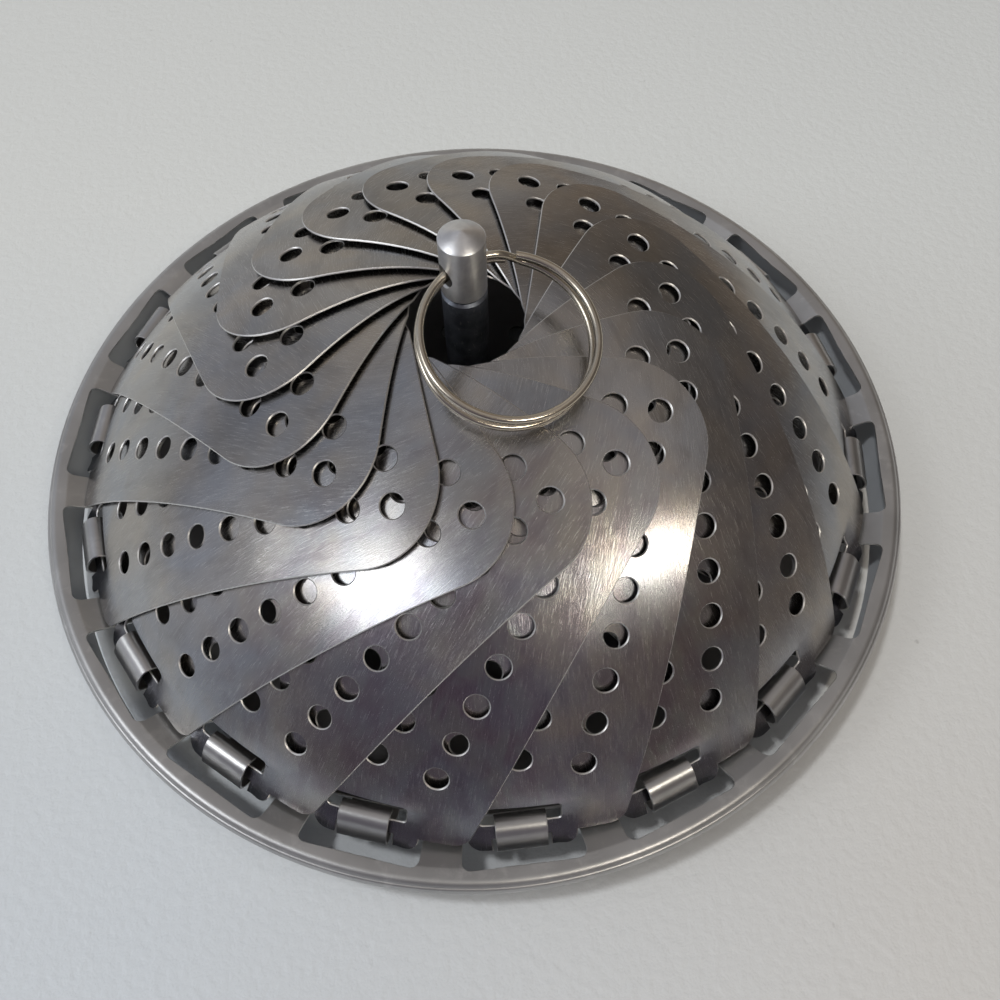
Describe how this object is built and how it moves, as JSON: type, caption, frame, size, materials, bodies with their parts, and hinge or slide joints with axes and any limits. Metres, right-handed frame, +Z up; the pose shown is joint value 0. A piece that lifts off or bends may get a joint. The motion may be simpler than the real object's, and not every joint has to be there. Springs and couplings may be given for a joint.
{
  "type": "folding steamer basket",
  "caption": "Folding steamer basket with overlapping perforated petals hinged to a shallow round dish, a centre post with a ring, and folding legs.",
  "frame": {"origin": "on the table, under the middle of the dish", "axes": "+Z up along the centre post; the picture looks from -Y, so +X is to the right"},
  "size_m": [0.139, 0.139, 0.0631],
  "materials": {
    "dish_steel": "brushed and scuffed",
    "petal_steel": "brushed stainless with fine scratches and a faint heat tint",
    "stem_steel": "turned, dull",
    "cap_steel": "turned, bright",
    "nut_steel": "plain",
    "ring_steel": "nickel plated wire",
    "leg_steel": "brushed",
    "bracket_steel": "brushed",
    "pin_steel": "plain"
  },
  "bodies": {
    "base": {"dish": "dish_steel", "post_stem": "stem_steel", "post_cap": "cap_steel", "post_washer": "nut_steel", "post_nut": "nut_steel", "leg_bracket_1": "bracket_steel", "leg_pin_1": "pin_steel", "leg_rivet_1": "pin_steel", "leg_bracket_2": "bracket_steel", "leg_pin_2": "pin_steel", "leg_rivet_2": "pin_steel", "leg_bracket_3": "bracket_steel", "leg_pin_3": "pin_steel", "leg_rivet_3": "pin_steel"},
    "leaf_01": {"petal_01": "petal_steel"},
    "leaf_02": {"petal_02": "petal_steel"},
    "leaf_03": {"petal_03": "petal_steel"},
    "leaf_04": {"petal_04": "petal_steel"},
    "leaf_05": {"petal_05": "petal_steel"},
    "leaf_06": {"petal_06": "petal_steel"},
    "leaf_07": {"petal_07": "petal_steel"},
    "leaf_08": {"petal_08": "petal_steel"},
    "leaf_09": {"petal_09": "petal_steel"},
    "leaf_10": {"petal_10": "petal_steel"},
    "leaf_11": {"petal_11": "petal_steel"},
    "leaf_12": {"petal_12": "petal_steel"},
    "leaf_13": {"petal_13": "petal_steel"},
    "leaf_14": {"petal_14": "petal_steel"},
    "leaf_15": {"petal_15": "petal_steel"},
    "leaf_16": {"petal_16": "petal_steel"},
    "leaf_17": {"petal_17": "petal_steel"},
    "leaf_18": {"petal_18": "petal_steel"},
    "ring": {"split_ring": "ring_steel"},
    "support_1": {"leg_1": "leg_steel"},
    "support_2": {"leg_2": "leg_steel"},
    "support_3": {"leg_3": "leg_steel"}
  },
  "joints": [
    {"name": "petal_01_hinge", "type": "hinge", "parent": "base", "child": "leaf_01", "pos_m": [-0.06105, 0.00739, 0.0125], "axis": [-0.1201, -0.9928, 0], "range_deg": [0, 100]},
    {"name": "petal_02_hinge", "type": "hinge", "parent": "base", "child": "leaf_02", "pos_m": [-0.0599, -0.01394, 0.0125], "axis": [0.2267, -0.974, 0], "range_deg": [0, 100]},
    {"name": "petal_03_hinge", "type": "hinge", "parent": "base", "child": "leaf_03", "pos_m": [-0.05152, -0.03359, 0.0125], "axis": [0.5461, -0.8377, 0], "range_deg": [0, 100]},
    {"name": "petal_04_hinge", "type": "hinge", "parent": "base", "child": "leaf_04", "pos_m": [-0.03693, -0.04918, 0.0125], "axis": [0.7997, -0.6004, 0], "range_deg": [0, 100]},
    {"name": "petal_05_hinge", "type": "hinge", "parent": "base", "child": "leaf_05", "pos_m": [-0.01788, -0.05884, 0.0125], "axis": [0.9568, -0.2907, 0], "range_deg": [0, 100]},
    {"name": "petal_06_hinge", "type": "hinge", "parent": "base", "child": "leaf_06", "pos_m": [0.00333, -0.06141, 0.0125], "axis": [0.9985, 0.0541, 0], "range_deg": [0, 100]},
    {"name": "petal_07_hinge", "type": "hinge", "parent": "base", "child": "leaf_07", "pos_m": [0.02413, -0.05657, 0.0125], "axis": [0.9198, 0.3923, 0], "range_deg": [0, 100]},
    {"name": "petal_08_hinge", "type": "hinge", "parent": "base", "child": "leaf_08", "pos_m": [0.04202, -0.04491, 0.0125], "axis": [0.7302, 0.6833, 0], "range_deg": [0, 100]},
    {"name": "petal_09_hinge", "type": "hinge", "parent": "base", "child": "leaf_09", "pos_m": [0.05485, -0.02782, 0.0125], "axis": [0.4524, 0.8918, 0], "range_deg": [0, 100]},
    {"name": "petal_10_hinge", "type": "hinge", "parent": "base", "child": "leaf_10", "pos_m": [0.06105, -0.00739, 0.0125], "axis": [0.1201, 0.9928, 0], "range_deg": [0, 100]},
    {"name": "petal_11_hinge", "type": "hinge", "parent": "base", "child": "leaf_11", "pos_m": [0.0599, 0.01394, 0.0125], "axis": [-0.2267, 0.974, 0], "range_deg": [0, 100]},
    {"name": "petal_12_hinge", "type": "hinge", "parent": "base", "child": "leaf_12", "pos_m": [0.05152, 0.03359, 0.0125], "axis": [-0.5461, 0.8377, 0], "range_deg": [0, 100]},
    {"name": "petal_13_hinge", "type": "hinge", "parent": "base", "child": "leaf_13", "pos_m": [0.03693, 0.04918, 0.0125], "axis": [-0.7997, 0.6004, 0], "range_deg": [0, 100]},
    {"name": "petal_14_hinge", "type": "hinge", "parent": "base", "child": "leaf_14", "pos_m": [0.01788, 0.05884, 0.0125], "axis": [-0.9568, 0.2907, 0], "range_deg": [0, 100]},
    {"name": "petal_15_hinge", "type": "hinge", "parent": "base", "child": "leaf_15", "pos_m": [-0.00333, 0.06141, 0.0125], "axis": [-0.9985, -0.0541, 0], "range_deg": [0, 100]},
    {"name": "petal_16_hinge", "type": "hinge", "parent": "base", "child": "leaf_16", "pos_m": [-0.02413, 0.05657, 0.0125], "axis": [-0.9198, -0.3923, 0], "range_deg": [0, 100]},
    {"name": "petal_17_hinge", "type": "hinge", "parent": "base", "child": "leaf_17", "pos_m": [-0.04202, 0.04491, 0.0125], "axis": [-0.7302, -0.6833, 0], "range_deg": [0, 100]},
    {"name": "petal_18_hinge", "type": "hinge", "parent": "base", "child": "leaf_18", "pos_m": [-0.05485, 0.02782, 0.0125], "axis": [-0.4524, -0.8918, 0], "range_deg": [0, 100]},
    {"name": "ring_swing", "type": "hinge", "parent": "base", "child": "ring", "pos_m": [0, 0, 0.05648], "axis": [-0.8746, -0.4848, 0], "range_deg": [0, 265]},
    {"name": "leg_1_fold", "type": "hinge", "parent": "base", "child": "support_1", "pos_m": [0, -0.045, 0.0016], "axis": [-1, 0, 0], "range_deg": [0, 100]},
    {"name": "leg_2_fold", "type": "hinge", "parent": "base", "child": "support_2", "pos_m": [0.03897, 0.0225, 0.0016], "axis": [0.5, -0.866, 0], "range_deg": [0, 100]},
    {"name": "leg_3_fold", "type": "hinge", "parent": "base", "child": "support_3", "pos_m": [-0.03897, 0.0225, 0.0016], "axis": [0.5, 0.866, 0], "range_deg": [0, 100]}
  ],
  "couplings": [
    {"joint": "petal_02_hinge", "follows": "petal_01_hinge", "ratio": 1},
    {"joint": "petal_03_hinge", "follows": "petal_01_hinge", "ratio": 1},
    {"joint": "petal_04_hinge", "follows": "petal_01_hinge", "ratio": 1},
    {"joint": "petal_05_hinge", "follows": "petal_01_hinge", "ratio": 1},
    {"joint": "petal_06_hinge", "follows": "petal_01_hinge", "ratio": 1},
    {"joint": "petal_07_hinge", "follows": "petal_01_hinge", "ratio": 1},
    {"joint": "petal_08_hinge", "follows": "petal_01_hinge", "ratio": 1},
    {"joint": "petal_09_hinge", "follows": "petal_01_hinge", "ratio": 1},
    {"joint": "petal_10_hinge", "follows": "petal_01_hinge", "ratio": 1},
    {"joint": "petal_11_hinge", "follows": "petal_01_hinge", "ratio": 1},
    {"joint": "petal_12_hinge", "follows": "petal_01_hinge", "ratio": 1},
    {"joint": "petal_13_hinge", "follows": "petal_01_hinge", "ratio": 1},
    {"joint": "petal_14_hinge", "follows": "petal_01_hinge", "ratio": 1},
    {"joint": "petal_15_hinge", "follows": "petal_01_hinge", "ratio": 1},
    {"joint": "petal_16_hinge", "follows": "petal_01_hinge", "ratio": 1},
    {"joint": "petal_17_hinge", "follows": "petal_01_hinge", "ratio": 1},
    {"joint": "petal_18_hinge", "follows": "petal_01_hinge", "ratio": 1},
    {"joint": "ring_swing", "follows": "petal_01_hinge", "ratio": 2.65}
  ]
}
